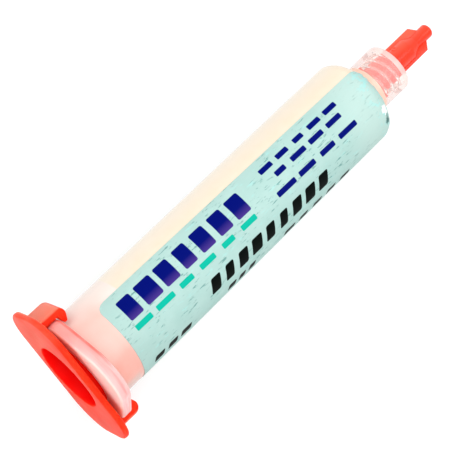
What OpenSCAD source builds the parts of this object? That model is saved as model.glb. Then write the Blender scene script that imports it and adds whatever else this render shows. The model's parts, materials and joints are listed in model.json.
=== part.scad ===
// Flux syringe, 10 ml, with its tip cap and end cap on, lying on its side.
// Each piece is drawn in the barrel's frame and then laid down. In that frame Z runs along
// the barrel toward the tip, from z = 0 at the flange's back face. X runs to the flange's
// two flat sides, where the end cap hooks on, and Y runs to its two ears.
// Laid down, +X points to the tip, +Z is up and the origin is under the middle.

/* [Barrel] */
// Diameter of the bore
bore_d = 15.9; // [13:0.1:17]
// Thickness of the tube's wall at the flange
wall = 1.33; // [0.9:0.05:1.8]
// Draft angle of the outside, narrower toward the tip
draft = 0.115; // [0:0.005:0.4]
// Length from the flange's back face to the start of the shoulder
tube_len = 76.8; // [66:0.2:100]
// Length of the rounded shoulder
shoulder_len = 3; // [2:0.1:5]
// Thickness of the end wall inside the shoulder
end_wall = 1.2; // [0.8:0.1:2]
// Widening of the bore at its mouth, on the radius
mouth_flare = 0.12; // [0.02:0.01:0.3]
// Length of that widening
mouth_len = 0.36; // [0.1:0.02:0.8]

/* [Flange] */
// Thickness of the flange
flange_t = 2.6; // [1.8:0.1:3.4]
// Width across the two flat sides
flange_w = 22.4; // [21.6:0.1:25]
// Length of each flat side, between its corner rounds
flat_len = 8.6; // [6:0.1:11]
// Radius of the corner at each end of a flat side
flange_corner_r = 2.5; // [1.5:0.1:3.5]
// Distance from the axis to the tip of each ear
ear_reach = 14.3; // [13:0.1:17]
// Radius of each ear's tip
ear_r = 7.5; // [5:0.1:9]
// Rounding of the flange's edges
flange_edge_r = 0.6; // [0.3:0.05:0.8]
// Fillet between the flange and the tube
root_fillet = 0.7; // [0.3:0.05:1]

/* [Luer lock] */
// Outside diameter of the collar at its base
collar_base_d = 10.3; // [9.6:0.1:12]
// Outside diameter of the collar at its rim
collar_rim_d = 10.5; // [9.6:0.1:12]
// Length of the collar
collar_len = 8.7; // [7:0.1:11]
// Depth of the space between the collar and the nozzle
collar_depth = 6.6; // [5:0.1:7.5]
// Inside diameter of the collar, at the bottom of its thread
thread_d = 8.1; // [7.8:0.05:8.6]
// Rounding of the collar's rim
rim_edge_r = 0.35; // [0.1:0.05:0.5]
// Diameter of the nozzle's end
nozzle_d = 3.97; // [3.8:0.01:4.1]
// Growth of the nozzle's diameter per millimetre toward the barrel
nozzle_taper = 0.06; // [0.03:0.005:0.08]
// Distance that the nozzle stands out past the collar's rim
nozzle_out = 1.5; // [0.5:0.1:2.1]
// Rounding of the nozzle's end
nozzle_edge_r = 0.2; // [0.05:0.05:0.3]
// Diameter of the passage through the nozzle
passage_d = 2.2; // [1.4:0.1:2.6]

/* [Piston and paste] */
// Length of the piston's skirt
piston_len = 9.3; // [7:0.1:16]
// Height of the piston's domed front
piston_dome = 2.2; // [1:0.1:2.6]
// Width of the flat ring round the dome
dome_ring = 0.5; // [0.2:0.1:1]
// Bevel on the piston's rear edge
piston_bevel = 0.3; // [0.1:0.05:0.6]
// Running clearance of the piston's lips in the bore, on the radius
piston_clear = 0.05; // [0.01:0.01:0.1]
// Length of each lip
lip_len = 1.4; // [0.8:0.1:2]
// Depth of the waist between the lips, on the radius
waist_cut = 0.45; // [0.2:0.05:0.8]
// Thickness of the piston's wall and front
piston_wall = 1.3; // [0.8:0.1:2]
// Gap between the plug and the piston
piston_gap = 0.3; // [0.1:0.05:1]
// Gap round the paste
paste_gap = 0.03; // [0.01:0.01:0.1]
// Distance that the paste stops short of the nozzle's end
paste_short = 0.3; // [0.1:0.1:1]

/* [Label] */
// Distance from the flange's back face to the label's rear edge
label_start = 8.5; // [5:0.1:20]
// Angle that the label wraps round the barrel
label_wrap = 270; // [200:1:330]
// Angle from X to the label's first long edge
label_from = 33.5; // [0:0.5:60]
// Radius of the label's corners
label_corner_r = 2; // [0.5:0.1:4]
// Angle of the shoulder's round at which the label ends
label_fold = 75; // [40:1:85]
// Thickness of the label
label_t = 0.1; // [0.05:0.01:0.2]
// Gap between the label and the barrel
label_gap = 0.02; // [0.01:0.01:0.05]

/* [End cap] */
// Length of the plate, from hook side to hook side
plate_len = 29.4; // [27:0.1:33]
// Width of the plate
plate_w = 19.2; // [17.6:0.1:23]
// Radius of the plate's corners
plate_corner_r = 7; // [4:0.1:8]
// Thickness of the plate
plate_t = 1.23; // [0.9:0.01:2]
// Rounding of the plate's edges
plate_edge_r = 0.25; // [0.1:0.05:0.4]
// Angle by which the cap sits rocked on the flange, as in the photograph
cap_rock = 3.1; // [0:0.1:4]
// Gap between the rocked plate's low edge and the flange
rest_gap = 0.02; // [0.01:0.01:0.05]
// Clearance between the plug and the bore, on the radius at the plate
plug_clear = 0.22; // [0.15:0.01:0.4]
// Distance that the plug reaches in from the plate
plug_len = 5; // [3.5:0.1:6]
// Draft angle of the plug
plug_draft = 3.2; // [3.1:0.1:5]
// Thickness of the plug's wall and floor
plug_wall = 0.65; // [0.6:0.05:1.3]
// Width of each hook, along the flat side
hook_w = 6.9; // [5:0.1:8.4]
// Thickness of each hook's leg
hook_t = 1.55; // [1.2:0.05:2]
// Clearance between a hook's leg and the flange
hook_clear = 0.2; // [0.1:0.05:0.4]
// Distance that each hook reaches in, from its outer face to its lip
hook_in = 3.2; // [2.7:0.05:3.4]
// Thickness of the lip at its tip
lip_t = 0.75; // [0.5:0.05:1.2]
// Bevel on the lip's edges
lip_bevel = 0.12; // [0.05:0.01:0.2]
// Drop of the lip's catching face from its tip to the leg
catch_drop = 0.5; // [0.2:0.05:0.6]
// Outer radius of the hook's head
hook_head_r = 1.5; // [1:0.05:1.6]
// Rise of the hook's round head over the tip of its lip
head_rise = 0.55; // [0.3:0.05:0.8]
// Clearance between the catching face and the flange
catch_clear = 0.06; // [0.04:0.01:0.3]

/* [Tip cap] */
// Diameter of the shank inside the collar
shank_d = 6.2; // [5.6:0.1:7]
// Gap between the shank's end and the floor of the collar
shank_gap = 0.7; // [0.3:0.1:1.5]
// Length of the step from the shank down to the round body
shank_step = 0.5; // [0.2:0.1:1]
// Diameter over the two lugs
lug_d = 7.7; // [7.2:0.05:7.7]
// Width of each lug
lug_w = 2.6; // [1.5:0.1:4]
// Thickness of each lug
lug_t = 0.8; // [0.5:0.1:1.5]
// Clearance between the socket and the nozzle, on the radius
socket_clear = 0.03; // [0.01:0.01:0.08]
// Gap between the nozzle's end and the bottom of the socket
socket_gap = 0.4; // [0.2:0.1:1]
// Diameter of the round body
body_d = 5; // [4.8:0.1:5.6]
// Length of the round body, from the collar's rim
body_len = 5.6; // [4:0.1:8]
// Length of the cone between the body and the nose
cone_len = 2.2; // [1.5:0.1:4]
// Diameter of the nose
nose_d = 2.96; // [2.4:0.02:3.6]
// Length of the nose
nose_len = 4.6; // [3:0.1:7]
// Rounding of the nose's end
nose_edge_r = 0.6; // [0.2:0.05:0.8]
// Width over the two fins
fin_span = 5.9; // [5.8:0.1:7.5]
// Thickness of the fins
fin_t = 1.2; // [0.8:0.1:2]
// Distance that the fins run on past the round body before they slant in
fin_past = 3.3; // [1:0.1:4]
// Length of the slanted end of the fins
fin_slant = 1.3; // [0.5:0.1:2]
// Angle of the fins from X, as the cap is screwed on
cap_turn = -24; // [-90:1:90]

/* [Hidden] */
$fn = 96;
// Sides of the round corners of the flange and the plate
corner_fn = 64;
// Steps in a quarter of a round or an ellipse
steps = 12;
// Steps in a small edge round
edge_steps = 4;
// Overlap between shapes that are joined into one piece
join = 0.2;
// Distance that a cutting shape runs past what it cuts
past = 1;
// Depth to which the fins' slanted ends sink into the nose
fin_root = 0.05;

bore_r = bore_d / 2;
outer_r = bore_r + wall;
front_r = outer_r - tube_len * tan(draft);
shoulder_end = tube_len + shoulder_len;
bore_end = tube_len - end_wall;
end_curve = shoulder_len - end_wall / 3;
passage_r = passage_d / 2;
collar_base_r = collar_base_d / 2;
collar_rim_r = collar_rim_d / 2;
rim_z = shoulder_end + collar_len;
floor_z = rim_z - collar_depth;
thread_r = thread_d / 2;
nozzle_end = rim_z + nozzle_out;

ear_c = ear_reach - ear_r;
corner_cx = flange_w / 2 - flange_corner_r;
corner_cy = flat_len / 2;

plate_cx = plate_len / 2 - plate_corner_r;
plate_cy = plate_w / 2 - plate_corner_r;
// The rocked plate's low edge meets the flange, which holds its middle this far back
seat = plate_w / 2 * sin(cap_rock) + rest_gap;
plug_r = bore_r - plug_clear;
recess_r = plug_r - plug_wall;
hook_outer = flange_w / 2 + hook_clear + hook_t;
hook_lip_x = hook_outer - hook_in;
// The catching face clears the flange's front face on the hook's lower side
catch_root = seat + flange_t + hook_w / 2 * sin(cap_rock) + catch_clear;
catch_tip = catch_root + catch_drop;
// Angle at which the hook's round head turns into its slanted top
head_turn = 112;

piston_r = bore_r - piston_clear;
// The rocked plug reaches furthest in at its low edge
piston_back = plug_len * cos(cap_rock) - seat + plug_r * sin(cap_rock) + piston_gap;
piston_front = piston_back + piston_len;
dome_r = piston_r - dome_ring;
paste_r = bore_r - paste_gap;

fin_z = rim_z + body_len + fin_past;
nose_z = rim_z + body_len + cone_len;
cap_end = nose_z + nose_len;
nose_r = nose_d / 2;
socket_end = nozzle_end + socket_gap;

// The syringe lies on one ear, on the nearest corner of the plate and on the front of the
// label. Its axis dips toward the tip by this slope, after a first guess at the roll.
label_front_r = front_r + label_gap + label_t;
ear_low_z = flange_t - flange_edge_r;
rest_run = tube_len - ear_low_z;
roll_arm = norm([plate_cx, ear_c - plate_cy]);
roll_lean = atan2(ear_c - plate_cy, plate_cx);
first_roll = roll_lean + asin((ear_r - plate_corner_r) / roll_arm);
first_slope = (ear_c * cos(first_roll) + ear_r - label_front_r) / rest_run;
roll = roll_lean + asin((ear_r - plate_corner_r + first_slope * (ear_low_z + plate_edge_r)) / roll_arm);
ear_drop = ear_c * cos(roll) + ear_r;
slope = atan2(ear_drop - label_front_r, rest_run);
axis_z = ear_drop * cos(slope) + ear_low_z * sin(slope);
// The part's ends along the ground, for an origin under its middle
front_x = (cap_end - nose_edge_r) * cos(slope) + (nose_r - nose_edge_r) * sin(slope) + nose_edge_r;
back_lean_x = sin(slope) * sin(roll);
back_lean_y = cos(slope) * sin(cap_rock) - sin(slope) * cos(roll) * cos(cap_rock);
back_x = -(plate_cx * back_lean_x + plate_cy * abs(back_lean_y)
    + (plate_corner_r - plate_edge_r) * norm([back_lean_x, back_lean_y]) + plate_t + seat);
mid_x = (front_x + back_x) / 2;

function outside(z) = outer_r - z * tan(draft);
function nozzle_r(z) = nozzle_d / 2 + (nozzle_end - z) * nozzle_taper / 2;
function arc(c, r, a0, a1, n) =
    [for (i = [0:n]) c + r * [cos(a0 + (a1 - a0) * i / n), sin(a0 + (a1 - a0) * i / n)]];
function ellipse(c, a, b, a0, a1, n) =
    [for (i = [0:n]) c + [a * cos(a0 + (a1 - a0) * i / n), b * sin(a0 + (a1 - a0) * i / n)]];

module lay_down() {
    translate([-mid_x, 0, axis_z]) rotate([0, slope, 0]) rotate([90, 0, 90]) rotate([0, 0, roll]) children();
}

// A disc from z = 0 to t with both edges rounded
module round_disc(r, t, e) {
    rotate_extrude($fn = corner_fn)
        polygon(concat([[0, 0]], arc([r - e, e], e, -90, 0, edge_steps),
            arc([r - e, t - e], e, 0, 90, edge_steps), [[0, t]]));
}

// The flange's eared plate, solid
module flange_plate() {
    hull() {
        for (s = [-1, 1]) {
            translate([0, s * ear_c]) round_disc(ear_r, flange_t, flange_edge_r);
            for (q = [-1, 1])
                translate([s * corner_cx, q * corner_cy])
                    round_disc(flange_corner_r, flange_t, flange_edge_r);
        }
    }
}

// Section of the tube, shoulder, collar and nozzle, on one side of the axis
function barrel_section() = concat(
    [[bore_r + mouth_flare, 0], [bore_r, mouth_len], [bore_r, bore_end]],
    ellipse([passage_r, bore_end], bore_r - passage_r, end_curve, 0, 90, steps),
    [[passage_r, nozzle_end]],
    arc([nozzle_r(nozzle_end) - nozzle_edge_r, nozzle_end - nozzle_edge_r], nozzle_edge_r, 90, 0, edge_steps),
    [[nozzle_r(floor_z), floor_z], [thread_r, floor_z], [thread_r, rim_z]],
    arc([collar_rim_r - rim_edge_r, rim_z - rim_edge_r], rim_edge_r, 90, 0, edge_steps),
    [[collar_base_r, shoulder_end]],
    ellipse([collar_base_r, tube_len], front_r - collar_base_r, shoulder_len, 90, 0, steps),
    arc([outside(flange_t) + root_fillet, flange_t + root_fillet], root_fillet, 180, 270, edge_steps),
    [[outside(0) + root_fillet, 0]]);

module barrel() {
    color([0.97, 0.9, 0.87, 0.55]) lay_down() {
        rotate_extrude() polygon(barrel_section());
        difference() {
            flange_plate();
            translate([0, 0, -past]) cylinder(r = outer_r, h = flange_t + 2 * past);
        }
    }
}

// Section of the piston: two wiping lips, a waist, a domed front and a hollow back
function piston_section() = concat(
    [[0, piston_front + piston_dome - piston_wall]],
    ellipse([0, piston_front - piston_wall], piston_r - waist_cut - piston_wall, piston_dome, 90, 0, steps),
    [[piston_r - waist_cut - piston_wall, piston_back], [piston_r - piston_bevel, piston_back],
        [piston_r, piston_back + piston_bevel], [piston_r, piston_back + lip_len],
        [piston_r - waist_cut, piston_back + lip_len + waist_cut],
        [piston_r - waist_cut, piston_front - lip_len - waist_cut],
        [piston_r, piston_front - lip_len], [piston_r, piston_front], [dome_r, piston_front]],
    ellipse([0, piston_front], dome_r, piston_dome, 0, 90, steps));

module piston() {
    color([0.96, 0.94, 0.9]) lay_down() rotate_extrude() polygon(piston_section());
}

// Section of the paste: hollowed by the piston's dome, rounded in the shoulder, with its neck
function paste_section() = concat(
    ellipse([0, piston_front + paste_gap], dome_r + paste_gap, piston_dome, 90, 0, steps),
    [[paste_r, piston_front + paste_gap], [paste_r, bore_end]],
    ellipse([passage_r, bore_end], paste_r - passage_r, end_curve - paste_gap, 0, 90, steps),
    [[passage_r - paste_gap, bore_end + end_curve - paste_gap],
        [passage_r - paste_gap, nozzle_end - paste_short], [0, nozzle_end - paste_short]]);

module flux_paste() {
    color([0.99, 0.93, 0.84]) lay_down() rotate_extrude() polygon(paste_section());
}

// Outline of the barrel's outside from the label's rear edge to the collar, moved out by d
function over_barrel(d) = concat(
    [[outside(label_start) + d, label_start]],
    ellipse([collar_base_r, tube_len], front_r - collar_base_r + d, shoulder_len + d, 0, label_fold, steps));

function reversed(list) = [for (i = [len(list) - 1:-1:0]) list[i]];

// What a round corner leaves of a square one, with the corner toward +X and +Y
module corner_waste() {
    difference() {
        square(label_corner_r + past);
        circle(r = label_corner_r);
    }
}

// Everything outside the label's round corners on the long edge at angle 0, where s is the
// side of the label's film: the corner at the flange, and the one folded over the shoulder
module corner_cuts(s) {
    translate([0, s * label_corner_r, label_start + label_corner_r]) rotate([90, 0, 90])
        linear_extrude(height = outer_r + past) rotate([0, 0, 180]) mirror([s < 0 ? 1 : 0, 0]) corner_waste();
    translate([collar_base_r + label_corner_r, s * label_corner_r, tube_len])
        linear_extrude(height = shoulder_len + past) rotate([0, 0, 180])
            mirror([0, s < 0 ? 1 : 0]) corner_waste();
}

module label() {
    color([0.83, 0.94, 0.91]) lay_down() rotate([0, 0, label_from])
        difference() {
            rotate_extrude(angle = label_wrap)
                polygon(concat(over_barrel(label_gap), reversed(over_barrel(label_gap + label_t))));
            corner_cuts(1);
            rotate([0, 0, label_wrap]) corner_cuts(-1);
        }
}

// One hook, on the +X side, as its section across the flange's flat side
function hook_section() = concat(
    [[hook_outer - hook_t, -plate_t / 2], [hook_outer, -plate_t / 2]],
    arc([hook_outer - hook_head_r, catch_tip + lip_t + head_rise - hook_head_r], hook_head_r,
        0, head_turn, steps),
    [[hook_lip_x, catch_tip + lip_t - lip_bevel], [hook_lip_x, catch_tip + lip_bevel],
        [hook_lip_x + lip_bevel, catch_tip], [hook_outer - hook_t, catch_root]]);

module hook() {
    rotate([90, 0, 0]) linear_extrude(height = hook_w, center = true) polygon(hook_section());
}

module end_cap() {
    color([1, 0.36, 0.29]) lay_down() translate([0, 0, -seat]) rotate([-cap_rock, 0, 0])
        difference() {
            union() {
                translate([0, 0, -plate_t]) hull()
                    for (x = [-plate_cx, plate_cx], y = [-plate_cy, plate_cy])
                        translate([x, y]) round_disc(plate_corner_r, plate_t, plate_edge_r);
                translate([0, 0, -join])
                    cylinder(r1 = plug_r, r2 = plug_r - (plug_len + join) * tan(plug_draft),
                        h = plug_len + join);
                hook();
                rotate([0, 0, 180]) hook();
            }
            translate([0, 0, -plate_t - join])
                cylinder(r1 = recess_r, r2 = recess_r - (plug_len + plate_t) * tan(plug_draft),
                    h = plug_len + plate_t + join - plug_wall);
        }
}

// Section of the tip cap's turned form, solid
function tip_cap_section() = concat(
    [[0, floor_z + shank_gap], [shank_d / 2, floor_z + shank_gap], [shank_d / 2, rim_z - shank_step],
        [body_d / 2, rim_z], [body_d / 2, rim_z + body_len], [nose_r, nose_z]],
    arc([nose_r - nose_edge_r, cap_end - nose_edge_r], nose_edge_r, 0, 90, edge_steps),
    [[0, cap_end]]);

module tip_cap() {
    color([1, 0.3, 0.18]) lay_down() rotate([0, 0, cap_turn])
        difference() {
            union() {
                rotate_extrude() polygon(tip_cap_section());
                // Fins
                rotate([90, 0, 0]) linear_extrude(height = fin_t, center = true)
                    polygon([[-fin_span / 2, rim_z - shank_step], [fin_span / 2, rim_z - shank_step],
                        [fin_span / 2, fin_z], [nose_r - fin_root, fin_z + fin_slant],
                        [fin_root - nose_r, fin_z + fin_slant], [-fin_span / 2, fin_z]]);
                // Lugs that turn in the collar's thread
                translate([0, 0, floor_z + shank_gap]) intersection() {
                    cylinder(d = lug_d, h = lug_t);
                    translate([-lug_d / 2, -lug_w / 2, 0]) cube([lug_d, lug_w, lug_t]);
                }
            }
            // Tapered socket over the nozzle
            translate([0, 0, floor_z]) cylinder(r1 = nozzle_r(floor_z) + socket_clear,
                r2 = nozzle_r(socket_end) + socket_clear, h = socket_end - floor_z);
        }
}

barrel();
piston();
flux_paste();
label();
end_cap();
tip_cap();
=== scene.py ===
"""Flux syringe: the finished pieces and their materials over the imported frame."""
import json
import math

import bmesh
import bpy
import numpy as np
from mathutils import Matrix, Vector


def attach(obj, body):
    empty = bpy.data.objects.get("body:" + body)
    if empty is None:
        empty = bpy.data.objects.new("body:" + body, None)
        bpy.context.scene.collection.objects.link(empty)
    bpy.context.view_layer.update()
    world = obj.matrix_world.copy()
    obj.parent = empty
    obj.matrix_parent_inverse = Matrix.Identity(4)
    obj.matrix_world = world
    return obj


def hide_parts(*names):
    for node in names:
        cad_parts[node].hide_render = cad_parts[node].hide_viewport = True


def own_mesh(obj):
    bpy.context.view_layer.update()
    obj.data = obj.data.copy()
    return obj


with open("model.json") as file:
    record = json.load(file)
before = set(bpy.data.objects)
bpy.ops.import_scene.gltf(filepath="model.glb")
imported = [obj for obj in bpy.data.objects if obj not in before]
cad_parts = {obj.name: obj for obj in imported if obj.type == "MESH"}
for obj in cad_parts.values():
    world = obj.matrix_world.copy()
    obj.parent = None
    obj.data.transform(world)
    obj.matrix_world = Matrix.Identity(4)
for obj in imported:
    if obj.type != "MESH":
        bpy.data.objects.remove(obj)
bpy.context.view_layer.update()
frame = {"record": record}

# Sizes in millimetres in the barrel's own frame, where Z runs from the flange's back face
# toward the tip, X runs to the end cap's hooks and Y to the flange's ears.
MM = 0.001
# How far plain corners are eased
EASE = 0.1

BORE_R = 7.95
WALL = 1.33
OUTER_R = BORE_R + WALL
DRAFT = math.tan(math.radians(0.115))
TUBE_LEN = 76.8
SHOULDER_LEN = 3.0
SHOULDER_END = TUBE_LEN + SHOULDER_LEN
BORE_END = TUBE_LEN - 1.2
END_CURVE = 2.6
# How far the bore's mouth flares, and at what depth
MOUTH = ((0.18, 0.0), (0.12, 0.05), (0.02, 0.4), (0.0, 0.8))

FLANGE_T = 2.6
FLANGE_EDGE_R = 0.6
EAR_R = 7.5
EAR_CENTRE = 6.8
FLAT_CORNER_R = 2.5
FLAT_CORNER_X = 8.7
FLAT_CORNER_Y = 4.3
ROOT_FILLET = 0.7

COLLAR_BASE_R = 5.15
COLLAR_RIM_R = 5.25
COLLAR_FOOT_R = 0.3
RIM_Z = 88.5
RIM_EDGE_R = 0.35
RIM_BAND = 1.3
FLOOR_Z = RIM_Z - 6.6
# Where the plastic behind the collar's floor ends and its thin wall begins
COLLAR_WALL_Z = FLOOR_Z - 0.15
# The collar's outside from its rim down to its foot, as radius and height
COLLAR_SIDE = [(5.235, RIM_Z - RIM_BAND), (5.175, COLLAR_WALL_Z), (5.155, SHOULDER_END + 0.35)]
# Where the barrel's finishes part: at the rim's front, the collar's foot and the flange's front
RIM_FACE_Z = RIM_Z - 0.05
COLLAR_FOOT_Z = SHOULDER_END + 0.02
FLANGE_FACE_Z = FLANGE_T + 0.05
NOZZLE_R = 1.985
NOZZLE_TAPER = 0.03
NOZZLE_END = 90.0
NOZZLE_EDGE_R = 0.2
PASSAGE_R = 1.1

THREAD_R = 4.05
THREAD_START = FLOOR_Z + 0.15
THREAD_END = RIM_Z - EASE
THREAD_LEAD = 3.74
THREAD_STARTS = 2
THREAD_HEIGHT = 0.45
THREAD_WIDTH = 0.85
THREAD_CREST = 0.3
THREAD_PHASE = 0.55
THREAD_RUN_IN = 0.3
THREAD_RUN_OUT = 0.5
THREAD_FOOT = 0.12
THREAD_ROWS = 128

PISTON_BACK = 5.17
PISTON_FRONT = 14.47
PISTON_DOME = 2.2
PISTON_R = BORE_R - 0.05
PISTON_LIP = 1.4
PISTON_EDGE = 0.35
PISTON_WAIST = 0.45
PISTON_WALL = 1.3
DOME_EDGE = 0.5

# How far the paste reaches into the wall, and how far it keeps off the piston
PASTE_WET = 0.02
PASTE_OFF = 0.03
NECK_GAP = 0.01
NECK_SHORT = 0.5
NECK_TIP = 0.2

LABEL_START = 8.5
LABEL_FROM = 33.5
LABEL_SKEW = math.tan(math.radians(0.85))
LABEL_WRAP = 270.0
LABEL_T = 0.06
LABEL_GAP = 0.02
LABEL_CORNER_R = 2.0
LABEL_MIDDLE = 40
# How far before the shoulder the label's rows grow finer
FINER_BY = 1.0
LABEL_COLUMNS = 220
LABEL_ROWS = 60
TUBE_ROWS = 24
# The share of the columns' spacing that is even; the rest crowds toward the long edges
EVEN_SHARE = 0.65
SHOULDER_ARC = math.radians(82)
SHOULDER_RUN = 5.0
FRONT_TRIM = 0.3
# The waves of the front edge: depth, waves by degree, and start
FRONT_WAVES = ((0.18, 0.31, 0.0), (0.12, 0.83, 1.0))
# The pleats on the shoulder: seed, number, degrees wide and millimetres tall
PLEAT_SEED = 11
PLEATS = 26
PLEAT_WIDE = (2.5, 6.0)
PLEAT_TALL = (0.05, 0.22)
PLEAT_RISE = 1.3

PLATE_HALF_LEN = 14.7
PLATE_HALF_W = 9.6
PLATE_CORNER_R = 7.0
PLATE_T = 1.23
PLATE_EDGE_R = 0.42
CAP_ROCK = math.radians(3.1)
CAP_SEAT = 0.54
PLUG_R = 7.73
PLUG_LEN = 5.0
PLUG_WALL = 0.65
PLUG_DRAFT = math.tan(math.radians(3.2))
PLUG_ROOT_R = 0.2
PLUG_TIP_R = 0.3
HOOK_W = 6.9
HOOK_T = 1.55
HOOK_OUTER = 12.95
HOOK_IN = 3.2
HOOK_HEAD_R = 1.5
HOOK_HEAD_TURN = 112
HOOK_EASE = 0.16
CATCH_ROOT = 3.39
CATCH_TIP = 3.89
LIP_TALL = 0.65
LIP_EDGE = 0.12
HOOK_REACH = CATCH_TIP + 1.3

SHANK_R = 3.1
SHANK_BACK = FLOOR_Z + 0.7
SHANK_END = RIM_Z - 0.5
LUG_R = 3.85
LUG_ROOT = 2.6
LUG_W = 2.6
LUG_T = 0.8
LUG_SET = 0.02
SOCKET_CLEAR = 0.03
SOCKET_FLARE = 0.15
SOCKET_END = NOZZLE_END + 0.4
BODY_R = 2.5
BODY_DRAFT = 0.02
BODY_EDGE = 0.08
BODY_END = RIM_Z + 5.6
NOSE_START = BODY_END + 2.2
NOSE_R = 1.48
NOSE_FLARE = 0.06
CAP_END = NOSE_START + 4.6
NOSE_EDGE_R = 0.6
FIN_R = 2.95
FIN_ROOT = 2.2
FIN_FOOT = 1.2
FIN_T = 1.2
FIN_EASE = 0.12
FIN_END = BODY_END + 3.3
FIN_SLANT = 1.3
CAP_TURN = math.radians(-24)
GATE_R = 0.42
GATE_THICK = 0.2
GATE_Z = RIM_Z + 2.9
GATE_FACING = math.radians(42.3)
GATE_STEPS = 24
GATE_SIDES = 8

# How finely round forms are made, merged and smoothed
TURNS = 256
FACING_STEP = 0.25
LEAST_LEAN = 0.2
MERGE_DIST = 1e-5
SLIVER_DIST = 1e-6
EASED_FROM = math.radians(30)
SMOOTH_TO = math.radians(38)

# How far the hooks are rolled up from the picture's plane
ROLLED = math.radians(24.0)

# Where the barrel's frame stands, from the mounts that the record gives
MOUNTS = {mount["name"]: mount for mount in frame["record"]["mounts"]}
TIPWARD = Vector(MOUNTS["luer_lock"]["axis"]).normalized()
FLANGE_BACK = Vector(MOUNTS["luer_lock"]["pos_m"]) - TIPWARD * RIM_Z * MM
FLANGE_FRONT = FLANGE_BACK + TIPWARD * FLANGE_T * MM
EARWARD = (Vector(MOUNTS["flange_front"]["pos_m"]) - FLANGE_FRONT).normalized()
HOOKWARD = EARWARD.cross(TIPWARD)
TURN = Matrix((HOOKWARD, EARWARD, TIPWARD)).transposed()
LAID = Matrix.Translation(FLANGE_BACK) @ (TURN * MM).to_4x4()
# The end cap sits rocked about the line between its hooks
ROCKED = Matrix.Translation((0, 0, -CAP_SEAT)) @ Matrix.Rotation(-CAP_ROCK, 4, "X")
SCREWED = Matrix.Rotation(CAP_TURN, 4, "Z")


# Outlines and sections

def whole_turn(steps):
    """Angles all round a turn."""
    return np.linspace(0, 2 * math.pi, steps, endpoint=False)


def ellipse(centre, wide, tall, start, end, steps=24):
    """Points along an ellipse, by angle in degrees."""
    angles = np.radians(np.linspace(start, end, steps + 1))
    return [(centre[0] + wide * math.cos(a), centre[1] + tall * math.sin(a)) for a in angles]


def arc(centre, radius, start, end, steps=8):
    """Points along an arc, by angle in degrees."""
    return ellipse(centre, radius, radius, start, end, steps)


def outline(discs, inset=0.0):
    """How far the outline round some discs (x, y, radius) lies from the axis, all round."""
    facing = np.radians(np.arange(0, 360, FACING_STEP))
    reach = np.max([x * np.cos(facing) + y * np.sin(facing) + r - inset for x, y, r in discs], axis=0)
    result = []
    for turn in whole_turn(TURNS):
        lean = np.cos(facing - turn)
        seen = lean > LEAST_LEAN
        result.append(np.min(reach[seen] / lean[seen]))
    return np.array(result)


def rounded_rim(discs, low, high, edge, steps=5):
    """Section rows round the rim of a plate shaped by discs, from its low face to its high one."""
    rows = []
    for start, middle in ((-90, low + edge), (0, high - edge)):
        for angle in np.radians(np.linspace(start, start + 90, steps + 1)):
            rows.append((outline(discs, edge * (1 - math.cos(angle))), middle + edge * math.sin(angle)))
    return rows


def outside(z):
    """The tube's outer radius at a height."""
    return OUTER_R - z * DRAFT


def nozzle_r(z):
    """The nozzle's outer radius at a height, and the socket's that fits it."""
    return NOZZLE_R + (NOZZLE_END - z) * NOZZLE_TAPER


# Meshes

def turned(section, closed=True):
    """Vertices and faces of a form turned about Z, from rows of radius and height. The radius of
    a row may differ all round."""
    verts = []
    for radius, z in section:
        radii = np.broadcast_to(radius, TURNS)
        verts += [(r * math.cos(t), r * math.sin(t), z) for r, t in zip(radii, whole_turn(TURNS))]
    faces = []
    rows = len(section)
    for row in range(rows if closed else rows - 1):
        here = row * TURNS
        after = (row + 1) % rows * TURNS
        for step in range(TURNS):
            side = (step + 1) % TURNS
            faces.append((here + step, here + side, after + side, after + step))
    return verts, faces


def slab(section, depth):
    """Vertices and faces of a section in X and Z, drawn out along Y, with its middle on Y = 0."""
    count = len(section)
    verts = [(x, -depth / 2, z) for x, z in section] + [(x, depth / 2, z) for x, z in section]
    faces = [tuple(range(count)), tuple(range(2 * count - 1, count - 1, -1))]
    faces += [(i, i + count, (i + 1) % count + count, (i + 1) % count) for i in range(count)]
    return verts, faces


def mesh_of(form, bevel=0.0, place=Matrix.Identity(4)):
    """A mesh from vertices and faces: merged, closed and facing outwards. Sharp edges are eased
    where a bevel is asked for."""
    verts, faces = form
    bm = bmesh.new()
    points = [bm.verts.new(place @ Vector(v)) for v in verts]
    for face in faces:
        bm.faces.new([points[i] for i in face])
    bmesh.ops.remove_doubles(bm, verts=bm.verts, dist=MERGE_DIST)
    bmesh.ops.dissolve_degenerate(bm, edges=bm.edges, dist=SLIVER_DIST)
    bmesh.ops.recalc_face_normals(bm, faces=bm.faces)
    if bevel:
        sharp = [e for e in bm.edges if e.calc_face_angle(0) > EASED_FROM]
        bmesh.ops.bevel(bm, geom=sharp, offset=bevel, segments=3, profile=0.5, affect="EDGES")
    mesh = bpy.data.meshes.new("form")
    bm.to_mesh(mesh)
    bm.free()
    return mesh


def piece(name, meshes, coats, body, stands_for=None):
    """One finished piece of some meshes in the barrel's frame, laid in place and riding on its body."""
    bm = bmesh.new()
    for mesh in meshes:
        bm.from_mesh(mesh)
    bmesh.ops.recalc_face_normals(bm, faces=bm.faces)
    joined = bpy.data.meshes.new(name)
    bm.to_mesh(joined)
    bm.free()
    joined.transform(LAID)
    joined.shade_smooth()
    joined.set_sharp_from_angle(angle=SMOOTH_TO)
    for coat in coats:
        joined.materials.append(coat)
    obj = bpy.data.objects.new(name, joined)
    bpy.context.scene.collection.objects.link(obj)
    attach(obj, body)
    if stands_for:
        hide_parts(stands_for)
    return obj


# Node tools

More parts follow.
